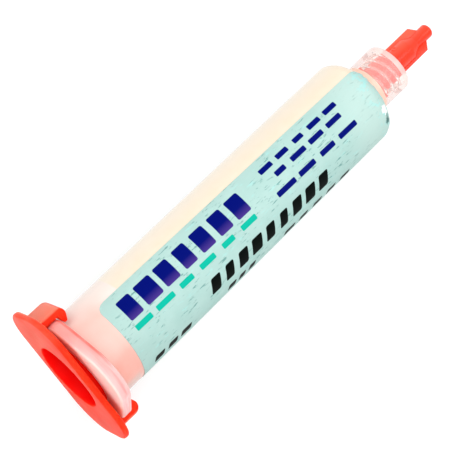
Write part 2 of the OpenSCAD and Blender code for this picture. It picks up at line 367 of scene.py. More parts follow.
class Nodes:
    """A node tree, with short calls to add and join its nodes."""

    def __init__(self, tree):
        self.tree = tree

    def link(self, source, socket):
        """Gives an input another node's output, or a plain value."""
        if isinstance(source, bpy.types.NodeSocket):
            self.tree.links.new(source, socket)
        else:
            socket.default_value = source

    def add(self, kind, inputs=None, **settings):
        """A node with its settings, and what its inputs are given."""
        made = self.tree.nodes.new(kind)
        for key, value in settings.items():
            setattr(made, key, value)
        for key, source in (inputs or {}).items():
            self.link(source, made.inputs[key])
        return made

    def math(self, operation, first, second=0.0, third=0.0):
        return self.add("ShaderNodeMath", {0: first, 1: second, 2: third}, operation=operation).outputs[0]

    def plus(self, first, *others):
        for other in others:
            first = self.math("ADD", first, other)
        return first

    def minus(self, first, second):
        return self.math("SUBTRACT", first, second)

    def times(self, first, *others):
        for other in others:
            first = self.math("MULTIPLY", first, other)
        return first

    def length(self, first, second):
        """The length of a vector with two parts."""
        return self.math("SQRT", self.plus(self.times(first, first), self.times(second, second)))

    def ramp(self, value, low, high, smooth=True):
        made = self.add("ShaderNodeMapRange", {"Value": value, "From Min": low, "From Max": high},
            interpolation_type="SMOOTHSTEP" if smooth else "LINEAR")
        return made.outputs["Result"]

    def noise(self, vector, scale, detail=2.0, rough=0.5):
        made = self.add("ShaderNodeTexNoise", {"Vector": vector, "Scale": scale, "Detail": detail,
            "Roughness": rough})
        return made.outputs["Fac"]

    def parts(self, vector):
        """A vector's X, Y and Z."""
        return self.add("ShaderNodeSeparateXYZ", {0: vector}).outputs


def group_of(name, kind, inputs, outputs):
    """A new node group with named sockets: its nodes, what it is given and what it puts out."""
    tree = bpy.data.node_groups.new(name, kind)
    for way, sockets in (("INPUT", inputs), ("OUTPUT", outputs)):
        for socket, value in sockets:
            tree.interface.new_socket(socket, in_out=way, socket_type="NodeSocket" + value)
    nodes = Nodes(tree)
    return nodes, nodes.add("NodeGroupInput").outputs, nodes.add("NodeGroupOutput").inputs


def floats(*names):
    """Sockets for plain numbers."""
    return [(name, "Float") for name in names]


def ink(red, green, blue):
    """A colour given in the usual 0 to 255 values, as the shader wants it."""
    channels = [c / 255 for c in (red, green, blue)]
    return tuple(c / 12.92 if c <= 0.04045 else ((c + 0.055) / 1.055) ** 2.4 for c in channels) + (1.0,)


# Toward the barrel's side that is low in the picture, in the barrel's frame
LOWER_SIDE = (-math.cos(ROLLED), math.sin(ROLLED), 0.0)


class Shader(Nodes):
    """A material's nodes."""

    def __init__(self, name):
        self.material = bpy.data.materials.new(name)
        self.material.use_nodes = True
        super().__init__(self.material.node_tree)
        self.surface = self.tree.nodes["Principled BSDF"]

    def blend(self, share, first, second):
        return self.add("ShaderNodeMix", {0: share, 6: first, 7: second}, data_type="RGBA").outputs[2]

    def painted(self, colour, *layers):
        """A colour with others laid over it, each by its share."""
        for share, over in layers:
            colour = self.blend(share, colour, over)
        return colour

    def barrel_frame(self):
        """Coordinates in millimetres in the barrel's frame."""
        place = self.add("ShaderNodeTexCoord").outputs["Object"]
        made = self.add("ShaderNodeMapping", {"Vector": place, "Location": tuple(FLANGE_BACK),
            "Rotation": tuple(TURN.to_euler()), "Scale": (MM, MM, MM)}, vector_type="TEXTURE")
        return made.outputs["Vector"]

    def off_axis(self, place):
        """How far a place in the barrel's frame is from the axis."""
        parts = self.parts(place)
        return self.length(parts["X"], parts["Y"])

    def lower(self, place):
        """How far a place lies toward the barrel's lower side."""
        made = self.add("ShaderNodeVectorMath", {0: place, 1: LOWER_SIDE}, operation="DOT_PRODUCT")
        return made.outputs["Value"]

    def stretched(self, vector, scale, turn=0.0):
        """A place for a pattern that is turned and stretched."""
        made = self.add("ShaderNodeMapping", {"Vector": vector, "Rotation": (0, 0, turn), "Scale": scale})
        return made.outputs["Vector"]

    def moulded(self, place, cloud, grain, gloss, change, raised, strength):
        """Gives the surface a moulded face's gloss and raised grain, and puts out its cloud."""
        made = self.add("ShaderNodeGroup", {"Place": place, "Cloud scale": cloud, "Grain scale": grain,
            "Gloss": gloss, "Gloss change": change}, node_tree=MOULDED).outputs
        self.join(made["Roughness"], "Roughness")
        self.bump(made["Grain"], raised, strength)
        return made["Cloud"]

    def set(self, **values):
        """Plain values of the surface's own sockets."""
        for key, value in values.items():
            self.surface.inputs[key.replace("_", " ")].default_value = value

    def join(self, source, socket):
        self.tree.links.new(source, self.surface.inputs[socket])

    def bump(self, height, distance, strength):
        made = self.add("ShaderNodeBump", {"Height": height, "Distance": distance, "Strength": strength})
        self.join(made.outputs["Normal"], "Normal")


# Materials

def moulding_group():
    """What every moulded face shows: cloudy patches, a fine grain, and a gloss that differs a
    little from place to place."""
    n, given, result = group_of("moulded_surface", "ShaderNodeTree",
        [("Place", "Vector")] + floats("Cloud scale", "Grain scale", "Gloss", "Gloss change"),
        floats("Cloud", "Grain", "Roughness"))
    cloud = n.noise(given["Place"], given["Cloud scale"], detail=3.0)
    n.link(cloud, result["Cloud"])
    n.link(n.noise(given["Place"], given["Grain scale"]), result["Grain"])
    off_middle = n.minus(cloud, 0.5)
    n.link(n.math("MULTIPLY_ADD", off_middle, given["Gloss change"], given["Gloss"]), result["Roughness"])
    return n.tree


MOULDED = moulding_group()

# How far the tints, the painted glow and the painted shade reach on the barrel, in millimetres along it or
# toward its lower side
PAINTED_CAP_GLOW = (13.0, 7.5)
CAP_GLOW_SHADE_ABOVE = (-9.0, -4.0)
CAP_GLOW_SHADE_BELOW = (1.5, 5.0)
CREAM_SHADE = (-9.0, -5.5)
LOWEST_STRIP = (7.8, 8.7)
BEHIND_LABEL = (8.0, 7.0)
PISTON_SHOWS = (PISTON_FRONT, PISTON_FRONT - 0.6)
SHOULDER_CLEARS = (TUBE_LEN + 1.5, SHOULDER_END + 1.5)
RIM_SHOWS = (RIM_Z - 1.5, RIM_Z - 1.2)
THICK_FROM = (SHOULDER_END - 0.4, SHOULDER_END + 0.4)
THICK_TO = (FLOOR_Z + 0.2, FLOOR_Z - 0.3)
# The same for the flange's painted light, and out from the axis for its outside and its mouth
FLANGE_SHOWS = (FLANGE_T + 0.1, FLANGE_T - 0.1)
FLANGE_FACE = (FLANGE_T + 0.05, FLANGE_T)
RIM_GLOW_SIDE = (3.0, -8.0)
FRONT_REFLECTION = (FLANGE_T - 0.85, FLANGE_T - 0.5)
FRONT_REFLECTION_SIDE = (4.0, -1.0)
FLANGE_OUTSIDE = (BORE_R + 1.5, BORE_R + 2.0)
EDGE_HIGHLIGHT = (0.38, 0.26)
BACK_GLOW = (0.2, 0.06)
FILLET_FROM = (FLANGE_T - 0.25, FLANGE_T)
FILLET_TO = (FLANGE_T + 0.55, FLANGE_T + 0.2)
MOUTH_HIGHLIGHT = (BORE_R + 0.5, BORE_R + 0.35)


def wall_tint_and_painted_light(s, along, lower):
    """Cream over the paste, paler over the piston, nearly white at the collar and peach where it is
    thick behind the collar's floor. Painted light lies over these: a pink glow from the end cap that
    grows pinker toward the lower side as painted shade, a deeper cream below the top edge and a
    darker lowest edge, both also painted shade."""
    # Painted shade: the cream deepens down from the top edge toward the label
    cream = s.blend(s.ramp(lower, *CREAM_SHADE), ink(250, 236, 216), ink(244, 226, 200))
    # Painted red glow from the end cap, strongest near it, with painted shade making it pinker toward the
    # lower side
    glow_shade_above = s.times(s.ramp(lower, *CAP_GLOW_SHADE_ABOVE), 0.65)
    glow_shade_below = s.times(s.ramp(lower, *CAP_GLOW_SHADE_BELOW), 0.33)
    painted_cap_glow = s.times(s.ramp(along, *PAINTED_CAP_GLOW), s.plus(glow_shade_above, glow_shade_below, 0.02))
    # Painted shade on the tube's lowest edge, between the flange and the label
    low_edge_shade = s.times(s.ramp(along, *BEHIND_LABEL), s.ramp(lower, *LOWEST_STRIP))
    thick = s.times(s.ramp(along, *THICK_FROM), s.ramp(along, *THICK_TO))
    return s.painted(cream,
        (s.ramp(along, *PISTON_SHOWS), ink(250, 234, 224)),
        (painted_cap_glow, ink(244, 172, 156)),
        (low_edge_shade, ink(224, 184, 172)),
        (s.ramp(along, *SHOULDER_CLEARS), ink(254, 244, 240)),
        (s.ramp(along, *RIM_SHOWS), ink(249, 224, 217)),
        (thick, ink(255, 208, 184)))


def flange_painted_light(s, place, along, lower, wall):
    """Painted red light from the cap behind the flange, over real streaks in its rim: a glow redder toward
    the upper side, a red reflection along its front edge and in the fillet, a glow on its back face, and
    highlights on its back edge and at the bore's mouth, all painted.
    """
    streaks = s.noise(s.stretched(place, (0.12, 0.12, 1.5)), 1.0, detail=3.0)
    # Painted red glow on the rim from the cap, over the real streaks, redder toward the upper side
    rim_glow = s.blend(s.ramp(streaks, 0.4, 0.62), ink(244, 158, 154), ink(246, 184, 182))
    rim_glow = s.blend(s.ramp(lower, *RIM_GLOW_SIDE), rim_glow, ink(246, 158, 150))
    off_axis = s.off_axis(place)
    outer = s.ramp(off_axis, *FLANGE_OUTSIDE)
    # Painted red reflection along the flange's front edge
    front = s.times(s.ramp(along, *FRONT_REFLECTION), s.ramp(lower, *FRONT_REFLECTION_SIDE), outer,
        s.ramp(along, *FLANGE_FACE))
    # Painted glow on the flange's back face, facing the red cap, which also lightens the shade in the gap
    back = s.ramp(along, *BACK_GLOW)
    return s.painted(wall,
        (s.ramp(along, *FLANGE_SHOWS), rim_glow),
        (front, ink(240, 92, 78)),
        # Painted highlight on the flange's back edge
        (s.times(s.ramp(along, *EDGE_HIGHLIGHT), outer), ink(250, 200, 194)),
        (back, ink(255, 205, 196)),
        # Painted red light in the fillet where the flange meets the tube
        (s.times(s.ramp(along, *FILLET_FROM), s.ramp(along, *FILLET_TO)), ink(255, 150, 136)),
        # Painted highlight at the bore's mouth
        (s.times(back, s.ramp(off_axis, *MOUTH_HIGHLIGHT)), ink(255, 240, 234)))


def clear_plastic(name, clarity, haze, depth=0.0, bend=1.49, shine=0.5, gleam=0.0):
    """Natural polypropylene: clear or milky by its clarity, tinted by what shows through it, and carrying
    the painted glow, shade and highlights of the wall and flange.
    """
    s = Shader(name)
    place = s.barrel_frame()
    along = s.parts(place)["Z"]
    lower = s.lower(place)
    tint_and_painted_light = flange_painted_light(s, place, along, lower, wall_tint_and_painted_light(s, along, lower))
    cloud = s.moulded(place, cloud=0.35, grain=0.6, gloss=haze, change=haze * 0.6, raised=1e-5, strength=0.1)
    s.join(s.blend(s.times(cloud, 0.2), tint_and_painted_light, ink(255, 254, 252)), "Base Color")
    s.set(IOR=bend, Transmission_Weight=clarity, Specular_IOR_Level=shine)
    if depth:
        s.set(Subsurface_Weight=depth, Subsurface_Scale=0.002, Subsurface_Radius=(1.0, 0.75, 0.65))
    if gleam:
        s.set(Coat_Weight=gleam, Coat_Roughness=0.06)
    return s.material


def paste_material():
    """Smooth cream paste."""
    s = Shader("cream_flux_paste")
    place = s.barrel_frame()
    swirl = s.noise(place, 0.16, detail=3.0)
    s.join(s.blend(swirl, ink(255, 232, 198), ink(255, 240, 214)), "Base Color")
    s.set(Roughness=0.35, Subsurface_Weight=0.25, Subsurface_Scale=0.002, Subsurface_Radius=(1.0, 0.8, 0.5))
    s.bump(s.noise(place, 0.7), distance=0.00005, strength=0.3)
    return s.material


def piston_material():
    """Natural polyethylene, with a painted pink glow toward its back, where the red plug would light it."""
    s = Shader("natural_polyethylene")
    place = s.barrel_frame()
    forward = s.ramp(s.parts(place)["Z"], PISTON_FRONT + 1, PISTON_BACK - 1)
    # Painted glow: pinker toward the back, beside the red plug
    plug_glow = s.blend(forward, ink(255, 236, 226), ink(255, 200, 188))
    cloud = s.moulded(place, cloud=0.5, grain=1.4, gloss=0.4, change=0.2, raised=2e-5, strength=0.3)
    s.join(s.blend(s.times(cloud, 0.3), plug_glow, ink(255, 238, 230)), "Base Color")
    return s.material


def red_plastic(name, deep, bright, gloss, shine):
    """Red polyethylene with the faint cloudiness of a moulding, for both caps."""
    s = Shader(name)
    place = s.barrel_frame()
    cloud = s.moulded(place, cloud=0.45, grain=2.2, gloss=gloss, change=gloss / 2, raised=1.2e-5,
        strength=0.35)
    s.set(Specular_IOR_Level=shine)
    return s, place, s.blend(cloud, deep, bright)


# Where the end cap's painted sheen and painted shade lie, by distance from the axis or place along it
PLUG_SIDE = (PLUG_R + 0.25, PLUG_R - 0.1)
PLUG_BEGINS = (-CAP_SEAT - 0.3, -CAP_SEAT + 0.2)
RECESS_SIDE = (PLUG_R - PLUG_WALL + 0.3, PLUG_R - PLUG_WALL)
RECESS_BEGINS = (-PLATE_T - CAP_SEAT - 0.1, -PLATE_T - CAP_SEAT + 0.7)
HOOK_FACE = (HOOK_OUTER - 0.5, HOOK_OUTER - 0.1)
HOOK_BEGINS = (-1.2, -0.6)
PLATE_LIT_SIDE = (-4.5, -8.0)
PLATE_ENDS = (-0.3, -0.6)


def end_cap_red():
    """Painted light on the red moulding: a paler sheen on the plate's upper side and on the hooks' outer
    faces, and a deeper red of shade in the recess and on the plug.
    """
    s, place, colour = red_plastic("red_end_cap", ink(251, 45, 17), ink(253, 61, 29), gloss=0.42, shine=0.06)
    x, _, z = s.parts(place)
    off_axis = s.off_axis(place)
    # Painted shade: a deeper red in the recess and on the plug
    recess = s.times(s.ramp(off_axis, *RECESS_SIDE), s.ramp(z, *RECESS_BEGINS))
    plug_shade = s.times(s.ramp(off_axis, *PLUG_SIDE), s.ramp(z, *PLUG_BEGINS))
    # Painted sheen: paler coral on the hooks' outer faces
    hook_sheen = s.times(s.ramp(s.math("ABSOLUTE", x), *HOOK_FACE), s.ramp(z, *HOOK_BEGINS))
    # Painted sheen: paler on the plate's upper side
    upper_side_light = s.times(s.ramp(s.lower(place), *PLATE_LIT_SIDE), s.ramp(z, *PLATE_ENDS))
    s.join(s.painted(colour,
        (s.times(upper_side_light, 0.75), ink(254, 82, 57)),
        (s.times(hook_sheen, 0.9), ink(255, 132, 108)),
        (s.math("MAXIMUM", recess, plug_shade), ink(250, 5, 2))), "Base Color")
    s.set(Subsurface_Weight=0.8, Subsurface_Scale=0.003, Subsurface_Radius=(1.0, 0.1, 0.06))
    return s.material


# Where painted light makes the tip cap paler toward its upper side
CAP_LIT_SIDE = (0.5, -2.5)


def tip_cap_red():
    """Glossier than the end cap, with painted light making its upper side paler."""
    s, place, colour = red_plastic("red_tip_cap", ink(251, 42, 14), ink(253, 62, 26), gloss=0.22, shine=0.3)
    upper_side_light = s.times(s.ramp(s.lower(place), *CAP_LIT_SIDE), 0.6)
    s.join(s.blend(upper_side_light, colour, ink(255, 112, 88)), "Base Color")
    return s.material


# How softly the print's edges end
PRINT_EDGE = 0.05


def printed_row_group():
    """A row of plain upright or leaning blocks with rounded corners, in millimetres on the label."""
    n, g, result = group_of("printed_row", "ShaderNodeTree", floats("Along", "Across", "Start", "Middle",
        "Height", "Lean", "Period", "Gap", "Blocks", "Variety", "Corner", "Seed"), floats("Ink"))
    across = n.minus(g["Across"], g["Middle"])
    along = n.plus(n.minus(g["Along"], g["Start"]), n.times(across, g["Lean"]))
    cell = n.math("FLOOR", n.math("DIVIDE", along, g["Period"]))
    chance = n.add("ShaderNodeTexWhiteNoise", {"W": n.plus(cell, g["Seed"])}, noise_dimensions="1D")
    room = n.minus(g["Period"], g["Gap"])
    wide = n.times(room, n.minus(1.0, n.times(chance.outputs["Value"], g["Variety"])))
    in_cell = n.minus(along, n.times(cell, g["Period"]))
    off_middle = n.math("ABSOLUTE", n.minus(in_cell, n.times(room, 0.5)))
    beyond_x = n.minus(off_middle, n.minus(n.times(wide, 0.5), g["Corner"]))
    beyond_y = n.minus(n.math("ABSOLUTE", across), n.minus(n.times(g["Height"], 0.5), g["Corner"]))
    corner = n.length(n.math("MAXIMUM", beyond_x, 0.0), n.math("MAXIMUM", beyond_y, 0.0))
    outside_by = n.plus(corner, n.math("MINIMUM", n.math("MAXIMUM", beyond_x, beyond_y), 0.0))
    printed = n.ramp(n.minus(g["Corner"], outside_by), -PRINT_EDGE, PRINT_EDGE)
    counted = n.times(n.math("GREATER_THAN", cell, -0.5),
        n.math("LESS_THAN", n.plus(cell, 0.5), g["Blocks"]))
    n.link(n.times(printed, counted), result["Ink"])
    return n.tree


NAVY = ink(0, 12, 108)
VIOLET = ink(70, 50, 132)
TEAL = ink(10, 178, 154)
BLACK = ink(2, 8, 6)
# Rows of print on the label: start and end along the barrel, middle and height across, lean,
# number of blocks, gap, variety, seed and inks
PRINT_ROWS = (
    (11.1, 43.2, 4.24, 4.4, 0.0, 7, 0.75, 0.25, 3.0, (NAVY, VIOLET)),
    (10.9, 43.1, 7.95, 1.15, 0.0, 6, 0.9, 0.35, 11.0, (TEAL,)),
    (48.8, 70.4, 2.6, 1.1, 0.0, 5, 0.8, 0.4, 23.0, (NAVY,)),
    (50.3, 69.4, 4.85, 1.1, 0.0, 4, 0.9, 0.4, 37.0, (NAVY,)),
    (48.5, 71.1, 8.05, 1.15, 0.0, 4, 0.5, 0.3, 41.0, (NAVY,)),
    (27.4, 60.0, 12.7, 3.3, 0.3, 9, 0.95, 0.3, 53.0, (BLACK,)),
    (11.2, 21.0, 16.75, 1.7, 0.3, 3, 0.7, 0.35, 67.0, (BLACK,)),
    (31.0, 38.7, 17.0, 1.7, 0.3, 3, 0.6, 0.35, 71.0, (BLACK,)),
    (46.6, 66.0, 17.35, 1.5, 0.3, 5, 0.7, 0.35, 83.0, (BLACK,)),
)
# Where a row's first ink fades into its second, in heights past its middle
INK_FADES = (0.1, 0.5)
LARGEST_CORNER = 0.4
CORNER_SHARE = 0.22

# Marks on the label's front: places along and across, sizes along and across, and colours
LABEL_MARKS = (
    (77.9, 10.6, 1.0, 1.3, ink(244, 250, 248)),
    (77.7, 13.3, 0.8, 0.9, ink(84, 120, 116)),
    (78.0, 12.1, 0.5, 0.5, ink(120, 158, 152)),
)
LABEL_ARC = math.radians(LABEL_WRAP) * (outside(LABEL_MIDDLE) + LABEL_GAP + LABEL_T)
TUBE_RUN = TUBE_LEN - LABEL_START
LABEL_RUN = TUBE_RUN + SHOULDER_RUN
LABEL_FRONT = (TUBE_LEN - 2.5, TUBE_LEN + 0.6)
LABEL_PALES = (TUBE_LEN - 12.0, TUBE_LEN - 3.0)


def label_print(s, film, along, across):
    """The film with its rows of print."""
    group = printed_row_group()
    for start, end, middle, height, lean, blocks, gap, variety, seed, inks in PRINT_ROWS:
        values = {"Along": along, "Across": across, "Start": start, "Middle": middle, "Height": height,
            "Lean": lean, "Seed": seed, "Gap": gap, "Period": (end - start + gap) / blocks,
            "Blocks": blocks, "Variety": variety, "Corner": min(LARGEST_CORNER, height * CORNER_SHARE)}
        row = s.add("ShaderNodeGroup", values, node_tree=group)
        colour = inks[0]
        if len(inks) > 1:
            fade_from, fade_to = (middle + height * share for share in INK_FADES)
            colour = s.blend(s.ramp(across, fade_from, fade_to, smooth=False), *inks)
        film = s.blend(row.outputs["Ink"], film, colour)
    return film


def label_marks(s, film, along, across, place):
    """The film with the gleam and the dark nicks at its front edge."""
    ragged = s.times(s.minus(s.noise(place, 2.2, detail=3.0), 0.5), 1.6)
    for mark_along, mark_across, long, wide, colour in LABEL_MARKS:
        far = s.length(s.math("DIVIDE", s.minus(along, mark_along), long),
            s.math("DIVIDE", s.minus(across, mark_across), wide))
        film = s.blend(s.ramp(s.plus(far, ragged), 1.0, 0.7), film, colour)
    return film


def label_material():
    """Pale aqua film with rows of plain print, scuffed all over, and creased and torn at its front."""
    s = Shader("printed_label_film")
    spread = s.parts(s.add("ShaderNodeUVMap", uv_map="label").outputs["UV"])
    across = s.times(spread["X"], LABEL_ARC)
    along = s.plus(s.times(spread["Y"], LABEL_RUN), LABEL_START)
    flat = s.add("ShaderNodeCombineXYZ", {0: along, 1: across}).outputs[0]
    place = s.barrel_frame()
    streaked = s.stretched(flat, (0.35, 1.4, 1), turn=0.25)
    brushed = s.stretched(flat, (0.55, 2.6, 1), turn=-0.35)
    cyan = s.ramp(s.noise(streaked, 0.8, detail=4.0, rough=0.65), 0.56, 0.72)
    grime = s.times(s.ramp(s.noise(brushed, 0.8, detail=3.0, rough=0.62), 0.56, 0.66),
        s.ramp(s.noise(flat, 0.22), 0.44, 0.56))
    front = s.ramp(along, *LABEL_FRONT)
    crease = s.times(s.ramp(s.noise(place, 0.7, detail=4.0, rough=0.65), 0.5, 0.6), front)
    film = s.blend(s.noise(flat, 0.2, detail=3.0), ink(158, 196, 189), ink(182, 211, 205))
    film = s.painted(film,
        (s.times(cyan, 0.45), ink(164, 226, 222)),
        (s.times(grime, 0.8), ink(96, 146, 142)),
        (s.times(s.ramp(along, *LABEL_PALES), 0.55), ink(192, 217, 210)),
        (s.times(crease, 0.6), ink(158, 224, 222)))
    film = label_print(s, film, along, across)
    s.join(label_marks(s, film, along, across, place), "Base Color")
    s.set(Roughness=0.42, Specular_IOR_Level=0.03)
    folds = s.times(s.noise(place, 0.5, detail=3.0, rough=0.6), front)
    ripple = s.times(s.noise(streaked, 0.5), 0.12)
    s.bump(s.plus(folds, ripple, s.times(grime, 0.03)), distance=0.0003, strength=0.6)
    return s.material


# Pieces

FLANGE_DISCS = [(0, side * EAR_CENTRE, EAR_R) for side in (-1, 1)]
FLANGE_DISCS += [(p * FLAT_CORNER_X, q * FLAT_CORNER_Y, FLAT_CORNER_R) for p in (-1, 1) for q in (-1, 1)]
PLATE_X = PLATE_HALF_LEN - PLATE_CORNER_R
PLATE_Y = PLATE_HALF_W - PLATE_CORNER_R
PLATE_DISCS = [(p * PLATE_X, q * PLATE_Y, PLATE_CORNER_R) for p in (-1, 1) for q in (-1, 1)]


def barrel_section():
    """The tube, shoulder, collar, nozzle and flange as one closed section."""
    tip_r = nozzle_r(NOZZLE_END) - NOZZLE_EDGE_R
    foot_r = nozzle_r(FLOOR_Z)
    rows = [(BORE_R + flare, depth) for flare, depth in MOUTH] + [(BORE_R, BORE_END)]
    rows += ellipse((PASSAGE_R, BORE_END), BORE_R - PASSAGE_R, END_CURVE, 0, 90)[1:]
    rows += [(PASSAGE_R, NOZZLE_END - EASE)]
    rows += arc((tip_r, NOZZLE_END - NOZZLE_EDGE_R), NOZZLE_EDGE_R, 90, 0, 5)
    rows += [(foot_r, FLOOR_Z + EASE / 2), (foot_r + EASE, FLOOR_Z), (THREAD_R - EASE, FLOOR_Z)]
    rows += [(THREAD_R, z) for z in np.linspace(FLOOR_Z + EASE, THREAD_END, THREAD_ROWS)]
    rows += [(THREAD_R + EASE, RIM_Z)]
    rows += arc((COLLAR_RIM_R - RIM_EDGE_R, RIM_Z - RIM_EDGE_R), RIM_EDGE_R, 90, 0, 6)
    rows += COLLAR_SIDE
    rows += arc((COLLAR_BASE_R + COLLAR_FOOT_R, SHOULDER_END + COLLAR_FOOT_R), COLLAR_FOOT_R, 180, 250, 5)
    rows += ellipse((COLLAR_BASE_R, TUBE_LEN), outside(TUBE_LEN) - COLLAR_BASE_R, SHOULDER_LEN, 84, 0)
    rows += arc((outside(FLANGE_T) + ROOT_FILLET, FLANGE_T + ROOT_FILLET), ROOT_FILLET, 180, 270, 6)
    rows += rounded_rim(FLANGE_DISCS, 0.0, FLANGE_T, FLANGE_EDGE_R)[::-1]
    return rows


# What the thread's tree is given
THREAD_INPUTS = {"Start": THREAD_START, "End": THREAD_END, "Lead": THREAD_LEAD, "Starts": THREAD_STARTS,
    "Height": THREAD_HEIGHT, "Width": THREAD_WIDTH, "Crest": THREAD_CREST, "Phase": THREAD_PHASE,
    "Run in": THREAD_RUN_IN, "Run out": THREAD_RUN_OUT, "Wall radius": THREAD_R}
# Whole cycles added to the count of ridges, so that it stays positive
CYCLES_AHEAD = 10.0
# How near the wall's radius a point has to be, to be moved
ON_WALL = 0.01


def thread_tree():
    """Geometry nodes that raise the helical ridges of the Luer thread on the collar's inner wall."""
    n, g, result = group_of("luer_thread", "GeometryNodeTree",
        [("Geometry", "Geometry")] + floats(*THREAD_INPUTS) + [("Material", "Material")],
        [("Geometry", "Geometry")])
    x, y, z = n.parts(n.add("GeometryNodeInputPosition").outputs["Position"])
    turn = n.math("DIVIDE", n.math("ARCTAN2", y, x), 2 * math.pi)
    pitch = n.math("DIVIDE", g["Lead"], g["Starts"])
    climbed = n.math("DIVIDE", n.minus(z, g["Start"]), pitch)
    cycle = n.math("FRACT", n.plus(n.minus(climbed, n.times(turn, g["Starts"])),
        n.plus(g["Phase"], CYCLES_AHEAD)))
    off_ridge = n.times(n.math("ABSOLUTE", n.minus(cycle, 0.5)), pitch)
    ridge = n.ramp(off_ridge, n.times(g["Width"], 0.5), n.times(g["Crest"], 0.5))
    run_in = n.ramp(z, g["Start"], n.plus(g["Start"], g["Run in"]))
    run_out = n.ramp(z, g["End"], n.minus(g["End"], g["Run out"]))
    raised = n.times(ridge, run_in, run_out, g["Height"])
    radius = n.length(x, y)
    off_wall = n.math("ABSOLUTE", n.minus(radius, g["Wall radius"]))
    on_wall = n.times(n.math("LESS_THAN", off_wall, ON_WALL), n.math("GREATER_THAN", z, g["Start"]))
    outward = n.add("ShaderNodeCombineXYZ", {0: n.math("DIVIDE", x, radius), 1: n.math("DIVIDE", y, radius)})
    shift = n.add("ShaderNodeVectorMath", {0: outward.outputs[0], "Scale": n.times(raised, on_wall, -1.0)},
        operation="SCALE")
    moved = n.add("GeometryNodeSetPosition", {"Geometry": g["Geometry"], "Offset": shift.outputs[0]})
    realized = n.add("GeometryNodeRealizeInstances", {0: moved.outputs[0]})
    coated = n.add("GeometryNodeSetMaterial", {"Geometry": realized.outputs[0], "Material": g["Material"]})
    n.link(coated.outputs[0], result["Geometry"])
    return n.tree


def threaded(mesh, material):
    """The barrel's mesh with the thread raised inside its collar."""
    obj = bpy.data.objects.new("collar", mesh)
    bpy.context.scene.collection.objects.link(obj)
    modifier = obj.modifiers.new("thread", "NODES")
    modifier.node_group = thread_tree()
    for item in modifier.node_group.interface.items_tree:
        if item.in_out == "INPUT" and item.name in THREAD_INPUTS:
            modifier[item.identifier] = float(THREAD_INPUTS[item.name])
        elif item.in_out == "INPUT" and item.name == "Material":
            modifier[item.identifier] = material
    depsgraph = bpy.context.evaluated_depsgraph_get()
    done = bpy.data.meshes.new_from_object(obj.evaluated_get(depsgraph))
    bpy.data.objects.remove(obj)
    return done


# The barrel's finishes, in the order in which make_barrel gives them
TUBE, FLANGE, COLLAR, CORED, THICK, RIDGE, RIM = range(7)
# A face looks inward where its normal leans toward the axis by more than this
LOOKS_INWARD = -0.1


def barrel_coat(face):
    """Which of the barrel's finishes lies on a face."""
    x, y, z = face.center
    radius = math.hypot(x, y)
    if z > FLOOR_Z and THREAD_R - THREAD_HEIGHT - EASE < radius < THREAD_R - THREAD_FOOT:
        return RIDGE
    if face.normal.x * x + face.normal.y * y < LOOKS_INWARD * radius or z > RIM_FACE_Z:
        return CORED
    if z > COLLAR_WALL_Z:
        return RIM if z > RIM_Z - RIM_BAND else COLLAR
    if z > COLLAR_FOOT_Z:
        return THICK
    return FLANGE if z < FLANGE_FACE_Z else TUBE


def make_barrel():
    """The moulding, milkier where it is thick and clearer where it is thin or polished by its core."""
    coats = (
        clear_plastic("natural_polypropylene", 0.08, 0.12, bend=1.3, shine=0.4),
        clear_plastic("flange_polypropylene", 0.05, 0.14, depth=1.0, shine=0.2),
        clear_plastic("collar_polypropylene", 0.76, 0.15, bend=1.05, gleam=0.5),
        clear_plastic("cored_polypropylene", 0.97, 0.05, bend=1.05),
        clear_plastic("thick_polypropylene", 0.12, 0.2),
        clear_plastic("ridge_polypropylene", 0.75, 0.08, bend=1.2, gleam=1.0),
        clear_plastic("rim_polypropylene", 0.35, 0.12, bend=1.05, gleam=0.6),
    )
    mesh = threaded(mesh_of(turned(barrel_section())), coats[TUBE])
    for face in mesh.polygons:
        face.material_index = barrel_coat(face)
    piece("barrel_clear", [mesh], coats, "syringe", "barrel")


def piston_section():
    """The hollow piston's two lips, its waist between them and its dome."""
    waist = PISTON_R - PISTON_WAIST
    inner = waist - PISTON_WALL
    rear_lip = PISTON_BACK + PISTON_LIP
    front_lip = PISTON_FRONT - PISTON_LIP
    rows = [(0.0, PISTON_FRONT + PISTON_DOME - PISTON_WALL)]
    rows += ellipse((0, PISTON_FRONT - PISTON_WALL), inner, PISTON_DOME, 90, 0)[1:]
    rows += [(inner, PISTON_BACK + EASE), (inner + EASE, PISTON_BACK), (PISTON_R - PISTON_EDGE, PISTON_BACK)]
    rows += [(PISTON_R, PISTON_BACK + PISTON_EDGE), (PISTON_R, rear_lip), (waist, rear_lip + PISTON_WAIST)]
    rows += [(waist, front_lip - PISTON_WAIST), (PISTON_R, front_lip), (PISTON_R, PISTON_FRONT - EASE / 2)]
    rows += ellipse((0, PISTON_FRONT), PISTON_R - DOME_EDGE, PISTON_DOME, 0, 90)
    return rows


def make_piston():
    mesh = mesh_of(turned(piston_section(), False))
    piece("piston_wiper", [mesh], [piston_material()], "piston", "piston")


